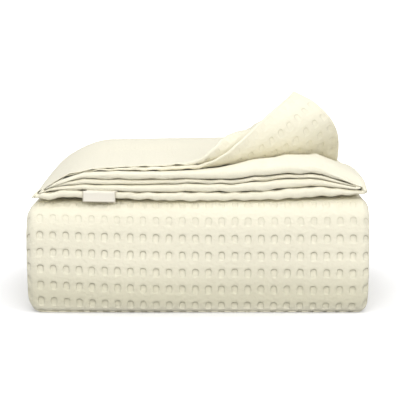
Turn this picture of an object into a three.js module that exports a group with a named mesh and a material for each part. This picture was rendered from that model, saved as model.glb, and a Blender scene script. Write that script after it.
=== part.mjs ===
// A waffle weave cotton blanket, folded for a shelf. Millimetres, +Z up, the front faces -Y.
// The blanket is doubled and then folded in thirds into a strip of six leaves, and the strip is
// folded back and forth in four passes. The lowest pass lies on the floor, and the front corner
// of the two uppermost leaves is turned up. The origin is the middle of the footprint, on the floor.
import * as THREE from 'three';
import { ParametricGeometry } from 'three/addons/geometries/ParametricGeometry.js';
import { mergeVertices } from 'three/addons/utils/BufferGeometryUtils.js';

// The cloth and its strip of leaves.
const CLOTH_THICKNESS = 3.4;
const LEAVES = 6;
const STRIP_THICKNESS = 45;
const LEAF_PITCH = STRIP_THICKNESS / LEAVES;
const HALF_WIDTH = 199;
const HEM_IN_BULK = 187; // right hems of leaves 4 and 5, from the middle, inside the bulk
const HEM_AT_CORNER = { 4: 177, 5: 148 }; // and where the corner is turned up, by leaf
const HEM_ROUND = 1.6; // how far a rounded hem reaches past the full thickness
const FOLD_SQUARENESS = 2.7; // power of the side folds, 2 being round

// The four passes of the strip, back and forth.
const PASS_GAP = 1.4;
const FRONT = -150;
const BEND_LINE_BACK = 106; // where the passes leave the back bends
const BEND_LINE_FRONT = -86; // where the passes leave the front bend
const LOWER_PASS_TOP = STRIP_THICKNESS;
const MIDDLE_PASS_TOP = 2 * STRIP_THICKNESS + PASS_GAP;
const BULK_TOP = 3 * STRIP_THICKNESS + 2 * PASS_GAP;
const UPPER_PASS_BASE = BULK_TOP + PASS_GAP;
const BULK_MIDDLE = BULK_TOP / 2;
const UNDERSIDE = (LEAF_PITCH - CLOTH_THICKNESS) / 2; // the lowest leaf's lower face
const SHOULDER_SQUARENESS = 5; // power of the front bend's upper corner
const FOOT_SQUARENESS = 9; // power of the front bend's lower corner

// The free end of the middle pass, tucked inside the front bend.
const TUCK = { end: -99, endBase: 54, endTop: 76, fullAt: -62 };

// Over the back bend the upper pass thins toward its side folds, over these distances from them.
const TAPER = {
  left: 80,
  right: 52,
  least: 0.12, // share of the thickness left at the side
  tip: 4, // height of the thinned side above the pass's base
};

// The upper pass at its front edge, where it sinks over the bulk's shoulder: at each place across
// it, how high its base and the top of each leaf lie, from the lowest leaf to the topmost one.
const FRONT_HEIGHTS = [
  { x: -192, heights: [-3.0, -2.2, -1.4, -0.6, 0.2, 1.0, 1.8] },
  { x: -182, heights: [-1.6, 5.0, 6.9, 7.8, 8.7, 9.5, 10.3] },
  { x: -172, heights: [-1.0, 8.0, 12.1, 13.3, 14.4, 15.3, 16.2] },
  { x: -153, heights: [1.2, 10.6, 16.4, 22.0, 25.3, 26.6, 27.8] },
  { x: -132, heights: [0.2, 9.0, 16.4, 23.3, 30.6, 31.7, 32.8] },
  { x: -108, heights: [-0.5, 8.5, 16.0, 22.3, 31.8, 33.4, 35.0] },
  { x: -74, heights: [-2.1, 7.0, 14.9, 21.1, 30.3, 34.0, 36.5] },
  { x: -44, heights: [-3.6, 5.8, 14.9, 20.7, 29.5, 34.6, 37.2] },
  { x: -9, heights: [-5.0, 5.4, 15.5, 20.7, 30.7, 37.4, 41.0] },
  { x: 35, heights: [-5.2, 4.8, 14.2, 18.6, 32.0, 37.0, 42.0] },
  { x: 74, heights: [-5.0, 5.7, 17.6, 23.4, 33.6, 38.5, 42.7] },
  { x: 108, heights: [-3.8, 9.0, 20.2, 25.2, 34.6, 39.2, 43.3] },
  { x: 138, heights: [-1.8, 10.4, 19.6, 24.4, 32.8, 37.2, 41.1] },
  { x: 151, heights: [-1.5, 9.8, 16.4, 21.3, 28.7, 31.6, 34.5] },
  { x: 174, heights: [-0.8, 6.7, 11.1, 12.8, 17.4, 19.0, 20.6] },
  { x: 189, heights: [0.4, 5.2, 7.4, 8.8, 10.6, 11.7, 12.8] },
  { x: 199, heights: [1.4, 2.4, 3.3, 4.2, 5.1, 6.0, 6.9] },
];
const FRONT_HEMS = [-141, -140, -137.5, -139.5, -131, -130]; // by leaf, in Y

// Half the strip's width along its length, from the tucked end to the upper pass's front hem.
const WIDTHS = [
  { part: 'tuck', half: 190 },
  { part: 'lowerBack', half: 193.5 },
  { part: 'lower', half: 196 },
  { part: 'frontBend', half: 200 },
  { part: 'bulkTop', half: 195.5 },
  { part: 'upperBack', half: 192.5 },
  { part: 'upper', half: 194 },
];
const UPPER_SHIFT = 3; // the upper pass lies a little to the right
const LEAN = 0.018; // the whole stack stands this share higher at its right side

// The turned-up corner. Each leaf rolls about a slanting crease: first tightly, then freely.
const CREASE_ANGLE = 0.958; // radians between the roll's direction and +X
const CORNER = { x: 177.2, y: -130 };
const ROLLS = [
  { leaf: 4, reach: 110, tight: 1 / 35.9, tightLength: 96.3, free: -1 / 73, cone: 0.00306 },
  { leaf: 5, reach: 116, tight: 1 / 18.5, tightLength: 52, free: 1 / 90, cone: 0.003 },
];

// Unevenness of the hand-folded cloth. Each wave has a size and the lengths that carry it on
// by one radian.
const RIPPLE = { size: 0.9, across: 31, up: 9 }; // of the leaves' front edges, up and down
const HEM_WAVE = { size: 1.1, across: 23, perLeaf: 2 }; // of the front hems, in and out
const SIDE_WAVE = { size: 1.6, perPass: 9, up: 7 }; // of the side folds, in and out
const FACE_WAVE = { size: 1.3, across: 43, up: 29, start: 1 }; // of the bulk's front face
const BEND_WIDENING = 1.6; // how early the front bend reaches its full width
const HEM_DRAW = { atBackBend: 0.5, perPass: 1.25 }; // how the slanting hems near the corner

// How finely the surface is divided: places along each leaf, and stations along the strip.
const OUTER_STEPS = { steps: 16, crowding: 1.45 };
const LEAF_STEPS = 8;
const INNER_LEAF_STEPS = 4;
const LOWER_BACK_STEPS = 5;
const FRONT_BEND_STEPS = 10;
const UPPER_BACK_STEPS = 5;
const UPPER_STATIONS = [0, 0.26, 0.46, 0.54, 0.61, 0.68, 0.75, 0.82, 0.88, 0.94, 0.993, 1];

// The label: a ribbon laid on the lowest leaf's front hem and hanging over the bulk.
const LABEL = {
  middle: -114,
  width: 38,
  tail: 9,
  drop: 12.6,
  bend: 1.4,
  thickness: 0.8,
  gap: 0.35,
  seat: 0.97, // how far along the upper pass its tail is held
};

const CREAM = 0xf0ecd6;
const RIBBON = 0xf4f1e6;

const mix = (from, to, share) => from + (to - from) * share;
const clamp01 = (value) => Math.min(1, Math.max(0, value));
const smooth = (value) => clamp01(value) ** 2 * (3 - 2 * clamp01(value));
const power = (value, exponent) => Math.sign(value) * Math.abs(value) ** exponent;
const leafMiddle = (leaf) => (leaf + 0.5) * LEAF_PITCH;
const halfWidthOf = (name) => WIDTHS.find((row) => row.part === name).half;

// ---- The strip's section: one line from hem to hem, back and forth through six leaves. ----

function crowdedRight(from, to, steps, crowding) {
  // Points from the right one to the left one or back, closer toward the right.
  const points = [];
  for (let i = 0; i <= steps; i += 1) {
    points.push(mix(Math.min(from, to), Math.max(from, to), 1 - (1 - i / steps) ** crowding));
  }
  return from < to ? points : points.reverse();
}

function crowdedEnds(from, to, steps) {
  const points = [];
  for (let i = 0; i <= steps; i += 1) {
    points.push(mix(from, to, (1 - Math.cos((Math.PI * i) / steps)) / 2));
  }
  return points;
}

const LEFT_BEND = -(HALF_WIDTH - 2.5 * LEAF_PITCH - CLOTH_THICKNESS / 2);
const RIGHT_BEND = HALF_WIDTH - 1.5 * LEAF_PITCH - CLOTH_THICKNESS / 2;

function sectionLine() {
  const line = [];
  const add = (leaf, points) => {
    points.forEach((x) => line.push({ x, v: leafMiddle(leaf), leaf }));
  };
  const outer = (from, to) => crowdedRight(from, to, OUTER_STEPS.steps, OUTER_STEPS.crowding);
  const turn = (side, fromLeaf, toLeaf, steps) => {
    const middle = (leafMiddle(fromLeaf) + leafMiddle(toLeaf)) / 2;
    const radius = leafMiddle(fromLeaf) - middle;
    for (let i = 1; i < steps; i += 1) {
      const angle = (Math.PI * i) / steps;
      const bend = side < 0 ? LEFT_BEND : RIGHT_BEND;
      const leaf = i * 2 < steps ? fromLeaf : toLeaf;
      const out = Math.abs(radius) * power(Math.sin(angle), 2 / FOLD_SQUARENESS);
      const rise = radius * power(Math.cos(angle), 2 / FOLD_SQUARENESS);
      line.push({ x: bend + side * out, v: middle + rise, leaf });
    }
  };
  add(5, outer(HEM_AT_CORNER[5], LEFT_BEND));
  turn(-1, 5, 0, 5);
  add(0, crowdedEnds(LEFT_BEND, RIGHT_BEND, LEAF_STEPS));
  turn(1, 0, 3, 4);
  add(3, crowdedEnds(RIGHT_BEND, LEFT_BEND, LEAF_STEPS));
  turn(-1, 3, 2, 3);
  add(2, crowdedEnds(LEFT_BEND, RIGHT_BEND, INNER_LEAF_STEPS));
  turn(1, 2, 1, 3);
  add(1, crowdedEnds(RIGHT_BEND, LEFT_BEND, INNER_LEAF_STEPS));
  turn(-1, 1, 4, 4);
  add(4, outer(LEFT_BEND, HEM_AT_CORNER[4]));
  return line;
}

function sectionOutline() {
  // Both faces of the line, joined by rounded hems. Every point keeps its partner on the line.
  const line = sectionLine();
  const last = line.length - 1;
  const face = (index, side) => {
    const here = line[index];
    const before = line[Math.max(0, index - 1)];
    const after = line[Math.min(last, index + 1)];
    const along = new THREE.Vector2(after.x - before.x, after.v - before.v).normalize();
    const offset = (side * CLOTH_THICKNESS) / 2;
    return { middle: here, x: here.x - along.y * offset, v: here.v + along.x * offset };
  };
  const hem = (index) => {
    const here = line[index];
    return { middle: here, x: here.x + HEM_ROUND, v: here.v };
  };
  const outline = [hem(0)];
  for (let i = 0; i <= last; i += 1) outline.push(face(i, -1));
  outline.push(hem(last));
  for (let i = last; i >= 0; i -= 1) outline.push(face(i, 1));
  return outline;
}

// ---- The strip's path: for each station, its outer and inner edge in Y and Z. ----

function frontBend(angle) {
  // angle runs from -90 degrees, under the blanket, to 90 degrees, on top of the bulk.
  const squareness = angle > 0 ? SHOULDER_SQUARENESS : FOOT_SQUARENESS;
  const reach = BEND_LINE_FRONT - FRONT;
  const depth = power(Math.cos(angle), 2 / squareness);
  const rise = power(Math.sin(angle), 2 / squareness);
  const innerRadius = BULK_MIDDLE - STRIP_THICKNESS;
  return {
    outer: [BEND_LINE_FRONT - reach * depth, BULK_MIDDLE + BULK_MIDDLE * rise],
    inner: [
      BEND_LINE_FRONT - innerRadius * Math.cos(angle),
      BULK_MIDDLE + innerRadius * Math.sin(angle),
    ],
    half: mix(halfWidthOf('lower'), halfWidthOf('frontBend'), smooth(BEND_WIDENING * Math.cos(angle))),
    face: Math.cos(angle) ** 2,
  };
}

function backBend(angle, middleHeight, outerRadius, innerRadius, half) {
  const at = (radius) => [
    BEND_LINE_BACK + radius * Math.cos(angle),
    middleHeight + radius * Math.sin(angle),
  ];
  return { outer: at(outerRadius), inner: at(innerRadius), half };
}

function straight(y, outerHeight, innerHeight, half) {
  return { outer: [y, outerHeight], inner: [y, innerHeight], half };
}

function bulkStations() {
  const stations = [];
  const middleBase = MIDDLE_PASS_TOP - STRIP_THICKNESS;
  const bulkTopBase = BULK_TOP - STRIP_THICKNESS;
  const lowerMiddle = MIDDLE_PASS_TOP / 2;
  const tuckHalf = halfWidthOf('tuck');
  const lowerHalf = halfWidthOf('lower');
  const tucked = straight(TUCK.end, TUCK.endTop, TUCK.endBase, tuckHalf);
  stations.push({ ...tucked, closed: true });
  stations.push(straight(TUCK.end + HEM_ROUND, TUCK.endTop, TUCK.endBase, tuckHalf));
  stations.push(straight(TUCK.fullAt, MIDDLE_PASS_TOP, middleBase, tuckHalf));
  for (let i = 0; i <= LOWER_BACK_STEPS; i += 1) {
    const angle = Math.PI * (0.5 - i / LOWER_BACK_STEPS);
    const backHalf = halfWidthOf('lowerBack');
    stations.push(backBend(angle, lowerMiddle, lowerMiddle, PASS_GAP / 2, backHalf));
  }
  stations.push(straight(0, 0, LOWER_PASS_TOP, lowerHalf));
  for (let i = 0; i <= FRONT_BEND_STEPS; i += 1) {
    stations.push(frontBend(Math.PI * (i / FRONT_BEND_STEPS - 0.5)));
  }
  stations.push(straight(0, BULK_TOP, bulkTopBase, halfWidthOf('bulkTop')));
  for (let i = 0; i < UPPER_BACK_STEPS; i += 1) {
    const done = i / UPPER_BACK_STEPS;
    const angle = Math.PI * (done - 0.5);
    const upperMiddle = BULK_TOP + PASS_GAP / 2;
    const outerRadius = STRIP_THICKNESS + PASS_GAP / 2;
    const backHalf = halfWidthOf('upperBack');
    const station = backBend(angle, upperMiddle, PASS_GAP / 2, outerRadius, backHalf);
    stations.push({ ...station, taper: smooth(done), hemIn: done * HEM_DRAW.atBackBend });
  }
  return stations;
}

// ---- Placing a point of the section at a station. ----

function sideTaper(v, x, half, amount) {
  // The height that is left near the side folds of the upper pass at the back.
  const rise = (distance, length) => {
    return mix(TAPER.least, 1, Math.sin((Math.PI / 2) * clamp01(distance / length)));
  };
  const share = Math.min(rise(half + x, TAPER.left), rise(half - x, TAPER.right));
  return mix(v, TAPER.tip + (v - TAPER.tip) * share, amount);
}

function drawnHem(x, leaf, hemIn) {
  // The right hems of the two uppermost leaves run slightly aslant: hemIn is 0 in the bulk
  // and 1 at the turned-up corner.
  const cornerEnd = HEM_AT_CORNER[leaf];
  if (!cornerEnd) return x;
  const end = mix(HEM_IN_BULK, cornerEnd, hemIn);
  const share = (x - LEFT_BEND) / (cornerEnd - LEFT_BEND);
  return x < LEFT_BEND ? x : mix(LEFT_BEND, end, share);
}

function bulkPoint(station, flatX, v, leaf) {
  const x = drawnHem(flatX, leaf, station.hemIn ?? 0);
  const scaledX = (x / HALF_WIDTH) * station.half;
  const height = sideTaper(v, scaledX, station.half, station.taper ?? 0);
  const share = height / STRIP_THICKNESS;
  const climb = Math.sin(station.outer[1] / FACE_WAVE.up + FACE_WAVE.start);
  const wave = FACE_WAVE.size * Math.sin(scaledX / FACE_WAVE.across) * climb;
  const face = (station.face ?? 0) * wave;
  return new THREE.Vector3(
    scaledX,
    mix(station.outer[0], station.inner[0], share) + face,
    mix(station.outer[1], station.inner[1], share),
  );
}

function frontHeight(x, v) {
  // The front edge's own heights at a place across it, in place of even ones.
  const last = FRONT_HEIGHTS.length - 1;
  let row = 1;
  while (row < last && FRONT_HEIGHTS[row].x < x) row += 1;
  const [before, after] = [FRONT_HEIGHTS[row - 1], FRONT_HEIGHTS[row]];
  const across = clamp01((x - before.x) / (after.x - before.x));
  const leaf = Math.min(LEAVES - 1, Math.max(0, Math.floor(v / LEAF_PITCH)));
  const up = v / LEAF_PITCH - leaf;
  const at = (heights) => mix(heights[leaf], heights[leaf + 1], up);
  return mix(at(before.heights), at(after.heights), across);
}

function upperHeight(x, y, v, half, progress) {
  const forward = smooth((BEND_LINE_BACK - y) / (BEND_LINE_BACK - FRONT));
  const atBack = sideTaper(v, x - UPPER_SHIFT * progress, half, 1);
  const height = mix(atBack, frontHeight(x, v), forward);
  const ripple = RIPPLE.size * Math.sin(x / RIPPLE.across + v / RIPPLE.up) * forward;
  return UPPER_PASS_BASE + height + ripple * clamp01(height / STRIP_THICKNESS);
}

function roll(leaf, x, y) {
  // Where the turned-up corner takes a point of the flat leaf: the foot on the crease,
  // how far it goes along and up from there, and how far it has turned.
  const row = ROLLS.find((entry) => entry.leaf === leaf);
  if (!row) return null;
  const direction = new THREE.Vector2(Math.cos(CREASE_ANGLE), -Math.sin(CREASE_ANGLE));
  const across = new THREE.Vector2(-direction.y, direction.x);
  const fromCorner = new THREE.Vector2(x - CORNER.x, y - CORNER.y);
  const past = fromCorner.dot(direction) + row.reach;
  if (past <= 0) return null;
  const tight = row.tight * Math.exp(-row.cone * fromCorner.dot(across));
  const tightTurn = tight * Math.min(past, row.tightLength);
  const freeLength = Math.max(0, past - row.tightLength);
  const turned = tightTurn + row.free * freeLength;
  return {
    direction,
    turned,
    footX: x - past * direction.x,
    footY: y - past * direction.y,
    along: Math.sin(tightTurn) / tight + (Math.sin(turned) - Math.sin(tightTurn)) / row.free,
    up: (1 - Math.cos(tightTurn)) / tight + (Math.cos(tightTurn) - Math.cos(turned)) / row.free,
  };
}

function upperPoint(progress, flatX, v, leaf) {
  // progress runs from 0 at the back bend to 1 at the front hem.
  const hemIn = HEM_DRAW.atBackBend + HEM_DRAW.perPass * progress;
  const x = drawnHem(flatX, leaf, clamp01(hemIn));
  const half = mix(halfWidthOf('upperBack'), halfWidthOf('upper'), progress);
  const sway = Math.sin(progress * SIDE_WAVE.perPass + v / SIDE_WAVE.up);
  const wave = SIDE_WAVE.size * sway * progress;
  const placedX = (x / HALF_WIDTH) * (half + wave) + UPPER_SHIFT * progress;
  const inOut = Math.sin(x / HEM_WAVE.across + HEM_WAVE.perLeaf * leaf);
  const hem = FRONT_HEMS[leaf] + HEM_WAVE.size * inOut;
  const y = mix(BEND_LINE_BACK, hem, progress);
  const turnedUp = roll(leaf, placedX, y);
  if (!turnedUp) {
    return new THREE.Vector3(placedX, y, upperHeight(placedX, y, v, half, progress));
  }
  const { direction, footX, footY, along, up, turned } = turnedUp;
  const middle = upperHeight(footX, footY, leafMiddle(leaf), half, progress);
  const off = v - leafMiddle(leaf);
  const out = along - off * Math.sin(turned);
  return new THREE.Vector3(
    footX + out * direction.x,
    footY + out * direction.y,
    middle + up + off * Math.cos(turned),
  );
}

function leaned(z, x) {
  // The underside stays level, so heights are stretched from there.
  return UNDERSIDE + (z - UNDERSIDE) * (1 + (LEAN * x) / HALF_WIDTH);
}

// ---- The blanket: the outline carried from station to station. ----

function takeShorterDiagonals(surface) {
  // Each four-sided patch is split along its shorter diagonal, which keeps tight rolls smooth.
  const index = surface.getIndex();
  const corner = (slot) => new THREE.Vector3().fromBufferAttribute(surface.attributes.position, slot);
  for (let i = 0; i < index.count; i += 6) {
    const [a, b, d] = [index.getX(i), index.getX(i + 1), index.getX(i + 2)];
    const c = index.getX(i + 4);
    const other = corner(a).distanceTo(corner(c));
    if (other < corner(b).distanceTo(corner(d))) {
      [a, b, c, a, c, d].forEach((vertex, place) => index.setX(i + place, vertex));
    }
  }
}

function welded(surface) {
  surface.deleteAttribute('normal');
  surface.deleteAttribute('uv');
  return mergeVertices(surface, 1e-4);
}

function makeBlanket() {
  const outline = sectionOutline();
  const bulk = bulkStations();
  const rows = [
    ...bulk.map((station) => ({
      closed: station.closed,
      at: (p, leaf) => bulkPoint(station, p.x, p.v, leaf),
    })),
    ...UPPER_STATIONS.map((progress) => ({
      closed: progress === 1,
      at: (p, leaf) => upperPoint(progress, p.x, p.v, leaf),
    })),
  ];
  const carry = (across, along, target) => {
    const point = outline[Math.round(across * outline.length) % outline.length];
    const row = rows[Math.round(along * (rows.length - 1))];
    target.copy(row.at(row.closed ? point.middle : point, point.middle.leaf));
    target.z = leaned(target.z, target.x);
  };
  const surface = new ParametricGeometry(carry, outline.length, rows.length - 1);
  takeShorterDiagonals(surface);
  const solid = welded(surface);
  solid.computeVertexNormals();
  const cloth = new THREE.MeshStandardMaterial({ color: CREAM, roughness: 0.95, metalness: 0 });
  const blanket = new THREE.Mesh(solid, cloth);
  blanket.name = 'blanket';
  return blanket;
}

// ---- The label: a plain woven ribbon, bare on both faces. ----

function makeLabel() {
  // It rests on the highest place of the hem below it and clears the foremost one.
  const across = [-0.5, -0.25, 0, 0.25, 0.5].map((share) => {
    return LABEL.middle - UPPER_SHIFT + share * LABEL.width;
  });
  const hemFaces = across.map((x) => {
    return upperPoint(LABEL.seat, x, leafMiddle(0) + CLOTH_THICKNESS / 2, 0);
  });
  const hemEdges = across.map((x) => upperPoint(1, x, leafMiddle(0), 0));
  const hemTop = Math.max(...hemFaces.map((point) => leaned(point.z, point.x)));
  const hemFront = Math.min(...hemEdges.map((point) => point.y));
  const under = hemTop + LABEL.gap;
  const over = under + LABEL.thickness;
  const back = hemFront - HEM_ROUND - LABEL.gap;
  const front = back - LABEL.thickness;
  const tailEnd = back + LABEL.tail;
  const side = new THREE.Shape();
  side.moveTo(tailEnd, under);
  side.lineTo(tailEnd, over);
  side.lineTo(front + LABEL.bend, over);
  side.quadraticCurveTo(front, over, front, over - LABEL.bend);
  side.lineTo(front, over - LABEL.drop);
  side.lineTo(back, over - LABEL.drop);
  side.lineTo(back, under - LABEL.gap);
  side.quadraticCurveTo(back, under, back + LABEL.gap, under);
  side.closePath();
  const options = { depth: LABEL.width, bevelEnabled: false, curveSegments: 3 };
  const ribbon = welded(new THREE.ExtrudeGeometry(side, options));
  // The drawn profile is Y and Z, and the ribbon's width runs along X.
  ribbon.applyMatrix4(new THREE.Matrix4().set(0, 0, 1, 0, 1, 0, 0, 0, 0, 1, 0, 0, 0, 0, 0, 1));
  ribbon.computeVertexNormals();
  const satin = new THREE.MeshStandardMaterial({ color: RIBBON, roughness: 0.6, metalness: 0 });
  const label = new THREE.Mesh(ribbon, satin);
  label.name = 'label';
  label.position.x = LABEL.middle - LABEL.width / 2;
  return label;
}

const model = new THREE.Group();
model.add(makeBlanket());
model.add(makeLabel());

// The origin is the middle of the footprint, level with the underside.
const extent = new THREE.Box3().setFromObject(model);
const middle = extent.getCenter(new THREE.Vector3());
model.position.set(-middle.x, -middle.y, -extent.min.z);

export default model;
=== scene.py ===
"""A folded waffle weave cotton blanket with a ribbon label, dressed and lit.

The folding layout is in millimetres, the finished pieces and materials in metres.
"""
import math

import bmesh
import bpy
import numpy as np
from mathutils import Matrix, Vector


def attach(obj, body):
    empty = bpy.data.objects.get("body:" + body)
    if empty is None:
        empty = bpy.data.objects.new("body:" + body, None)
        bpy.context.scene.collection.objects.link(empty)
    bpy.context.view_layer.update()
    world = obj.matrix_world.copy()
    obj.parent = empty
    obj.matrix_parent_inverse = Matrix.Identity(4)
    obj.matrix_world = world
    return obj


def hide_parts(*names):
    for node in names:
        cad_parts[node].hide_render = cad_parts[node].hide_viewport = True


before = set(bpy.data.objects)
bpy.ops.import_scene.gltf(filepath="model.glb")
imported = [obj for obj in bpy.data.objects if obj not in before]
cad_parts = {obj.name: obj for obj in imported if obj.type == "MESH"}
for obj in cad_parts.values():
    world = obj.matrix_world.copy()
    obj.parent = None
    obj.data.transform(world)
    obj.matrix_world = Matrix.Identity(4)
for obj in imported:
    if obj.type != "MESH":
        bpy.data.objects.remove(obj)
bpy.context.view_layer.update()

bl_info = {
    "name": "Folded waffle blanket",
    "version": (1, 0, 0),
    "blender": (4, 5, 0),
    "location": "View3D > Sidebar > Blanket",
    "description": "Makes a folded waffle weave cotton blanket, its ribbon label and its studio",
    "category": "Object",
}

MM = 0.001
ORIGIN = np.array((-0.365, 0.552, -2.050))  # from the folding layout to the frame

# ---- The folding layout: the same sizes as the solid's. ----

THICK = 3.4
LEAVES = 6
STRIP = 45.0  # the height of all the leaves together
PITCH = STRIP / LEAVES
HALF_WIDTH = 199.0
HEM_IN_BULK = 187.0  # where leaves 4 and 5 end in the lower pass
HEM_AT_CORNER = {4: 177.0, 5: 148.0}  # and at the turned-up corner
HEM_ROUND = 1.6
SQUARENESS = 2.7  # of the side folds
GAP = 1.4  # between one pass of the strip and the next
FRONT = -150.0
LINE_BACK = 106.0  # the middle of the back bends
LINE_FRONT = -86.0  # and of the front one
MIDDLE_TOP = 2 * STRIP + GAP
BULK_TOP = 3 * STRIP + 2 * GAP
UPPER_BASE = BULK_TOP + GAP
UNDERSIDE = (PITCH - THICK) / 2
SHOULDER, FOOT = 5.0, 16.0  # squareness of the front bend, above and below
BEND_WIDENING = 1.6
TUCK = {"end": -99.0, "base": 54.0, "top": 76.0, "full": -62.0}  # the strip's hidden start
TAPER = {"left": 80.0, "right": 52.0, "least": 0.12, "tip": 4.0}
FRONT_HEIGHTS = np.array((  # x, then the heights of the base and of the six leaves' tops
    (-192, -3.2, -1.9, -0.6, 0.7, 2.0, 3.2, 4.4),
    (-182, -1.6, 5.0, 6.9, 7.8, 8.7, 9.5, 10.3),
    (-172, -1.0, 8.0, 12.1, 13.3, 14.4, 15.3, 16.2),
    (-153, 1.2, 10.6, 16.4, 22.0, 25.3, 26.6, 27.8),
    (-132, 0.2, 9.0, 16.4, 23.3, 30.6, 31.7, 32.8),
    (-108, -0.5, 8.5, 16.0, 22.3, 31.8, 33.4, 35.0),
    (-74, -2.1, 7.0, 14.9, 21.1, 30.3, 34.0, 36.5),
    (-44, -3.6, 5.8, 14.9, 20.7, 29.5, 34.6, 37.2),
    (-9, -5.0, 5.4, 15.5, 20.7, 30.7, 37.4, 41.0),
    (35, -5.2, 4.8, 14.2, 18.6, 32.0, 37.0, 42.0),
    (74, -5.0, 5.7, 17.6, 23.4, 35.2, 38.5, 42.7),
    (108, -3.8, 9.0, 20.2, 25.2, 36.8, 39.2, 43.3),
    (138, -1.8, 10.4, 19.6, 24.4, 34.8, 37.2, 41.1),
    (151, -1.5, 9.8, 16.4, 21.3, 30.0, 31.6, 34.5),
    (174, -0.8, 6.7, 11.1, 12.8, 17.4, 19.0, 20.6),
    (189, 0.4, 5.2, 7.4, 8.8, 10.6, 11.7, 12.8),
    (199, 1.4, 2.4, 3.3, 4.2, 5.1, 6.0, 6.9),
))
LEAF_HEMS = (-141.0, -140.0, -137.5, -139.5, -131.0, -130.0)
WIDE = {"tuck": 190.0, "low_back": 193.5, "low": 196.0, "bend": 200.0, "top": 195.5,
        "up_back": 192.5, "upper": 194.0}
UPPER_SHIFT = 3.0
DRAWN_IN = {"most": 9.0, "from": 90.0, "over": 105.0, "until": 0.85}
BELLY = {"most": 7.0, "top": 62.0, "face": 3}  # the front draws back toward the floor
LOFT = {"share": 0.1, "over": 0.5}  # the upper pass swells behind its middle
LEAN = 0.018
CREASE = 0.958  # the turned-up corner's angle, in radians
CORNER = (177.2, -130.0)
ROLL_FROM = 113
ROLLS = {  # reach, curve at the crease and its length, curve of the free end, cone
    4: (110.0, 1 / 35.9, 96.3, -1 / 73, 0.00306),
    5: (110.5, 1 / 18.0, 50.0, 1 / 90, 0.003),
}
HEM_LIFT = {  # the turned-up leaf's side hem rises where it leaves the stack
    "most": 10.0, "over": 25, "until": 35, "fade": 50, "right_of": 115, "side": 60}
LEAF_LIFT = {"leaf": 3, "curve": 78, "most": 9, "behind": 10, "over": 28}
RIPPLE = {"high": 0.9, "across": 31, "through": 9}
HEM_WAVE = {"deep": 1.1, "across": 23}
SIDE_WAVE = {"deep": 1.6, "along": 9, "through": 7}
FACE_WAVE = {"deep": 1.3, "across": 43, "up": 29}
TURN_STEPS, BACK_STEPS, FRONT_STEPS = 40, 40, 160
SECTION_STEP = 0.5
LEFT_BEND = -(HALF_WIDTH - 2.5 * PITCH - THICK / 2)
RIGHT_BEND = HALF_WIDTH - 1.5 * PITCH - THICK / 2
UPPER_RUN = LINE_BACK - min(LEAF_HEMS)


def mix(a, b, t):
    return a + (b - a) * t


def smooth(t):
    t = np.clip(t, 0, 1)
    return t * t * (3 - 2 * t)


def power(v, e):
    return np.sign(v) * np.abs(v) ** e


def window(v, low, high, fade):
    """1 between low and high, falling to 0 within fade outside them."""
    return smooth((v - low) / fade + 1) * smooth((high - v) / fade + 1)


# ---- The strip's section: one line through six leaves, by distance along the cloth. ----

def section_table():
    """Columns by distance along the cloth: x, height, normal, leaf, front hem and its phase."""
    rows = []

    def middle(leaf):
        return (leaf + 0.5) * PITCH

    def run(leaf, start, end):
        for x in np.linspace(start, end, int(abs(end - start))):
            rows.append((x, middle(leaf), leaf, LEAF_HEMS[leaf], 2 * leaf))

    def turn(side, first, last):
        centre = (middle(first) + middle(last)) / 2
        radius = middle(first) - centre
        bend = LEFT_BEND if side < 0 else RIGHT_BEND
        for i in range(1, TURN_STEPS):
            angle = math.pi * i / TURN_STEPS
            t = float(smooth(i / TURN_STEPS))
            rows.append((
                bend + side * abs(radius) * float(power(math.sin(angle), 2 / SQUARENESS)),
                centre + radius * float(power(math.cos(angle), 2 / SQUARENESS)),
                first if i < TURN_STEPS / 2 else last,
                mix(LEAF_HEMS[first], LEAF_HEMS[last], t),
                mix(2 * first, 2 * last, t),
            ))

    marks = {}
    run(5, HEM_AT_CORNER[5], LEFT_BEND)
    for name, side, first, last in (("left", -1, 5, 0), ("right", 1, 0, 3), ("left3", -1, 3, 2),
                                    ("right2", 1, 2, 1), ("left1", -1, 1, 4)):
        marks[name] = len(rows)
        turn(side, first, last)
        marks[f"leaf{last}"] = len(rows)
        start = LEFT_BEND if side < 0 else RIGHT_BEND
        stop = HEM_AT_CORNER[4] if last == 4 else LEFT_BEND + RIGHT_BEND - start
        run(last, start, stop)
    t = np.array(rows)
    step = np.hypot(np.diff(t[:, 0]), np.diff(t[:, 1]))
    along = np.concatenate(([0], np.cumsum(step)))
    keep = np.concatenate(([True], step > 1e-6))
    marks = {k: along[i] for k, i in marks.items()}
    t, along = t[keep], along[keep]
    even = np.arange(0, along[-1], SECTION_STEP)
    cols = [np.interp(even, along, t[:, i]) for i in range(5)]
    dx, dv = np.gradient(cols[0]), np.gradient(cols[1])
    size = np.hypot(dx, dv)
    cols += [-dv / size, dx / size]
    return even, cols, marks


ALONG, SECTION, MARKS = section_table()
CLOTH_LENGTH = ALONG[-1]
CAP = 2.7  # distance round half a hem


def outline_at(a):
    """Distance along the cloth, face (-1 or 1) and hem roundness, by distance round it."""
    total = 2 * CLOTH_LENGTH + 4 * CAP
    knots = (0, CAP, CAP + CLOTH_LENGTH, 3 * CAP + CLOTH_LENGTH, total - CAP, total)
    s = np.interp(a, knots, (0, 0, CLOTH_LENGTH, CLOTH_LENGTH, 0, 0))
    turn = np.interp(a, knots, (0, -90, -90, 90, 90, 0))
    return s, np.sin(np.radians(turn)), np.cos(np.radians(turn))


def distance_round(s, face):
    """Distance round the outline of a place on one face."""
    return CAP + s if face < 0 else 3 * CAP + 2 * CLOTH_LENGTH - s


# ---- The strip's path, by distance along it. ----

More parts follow.
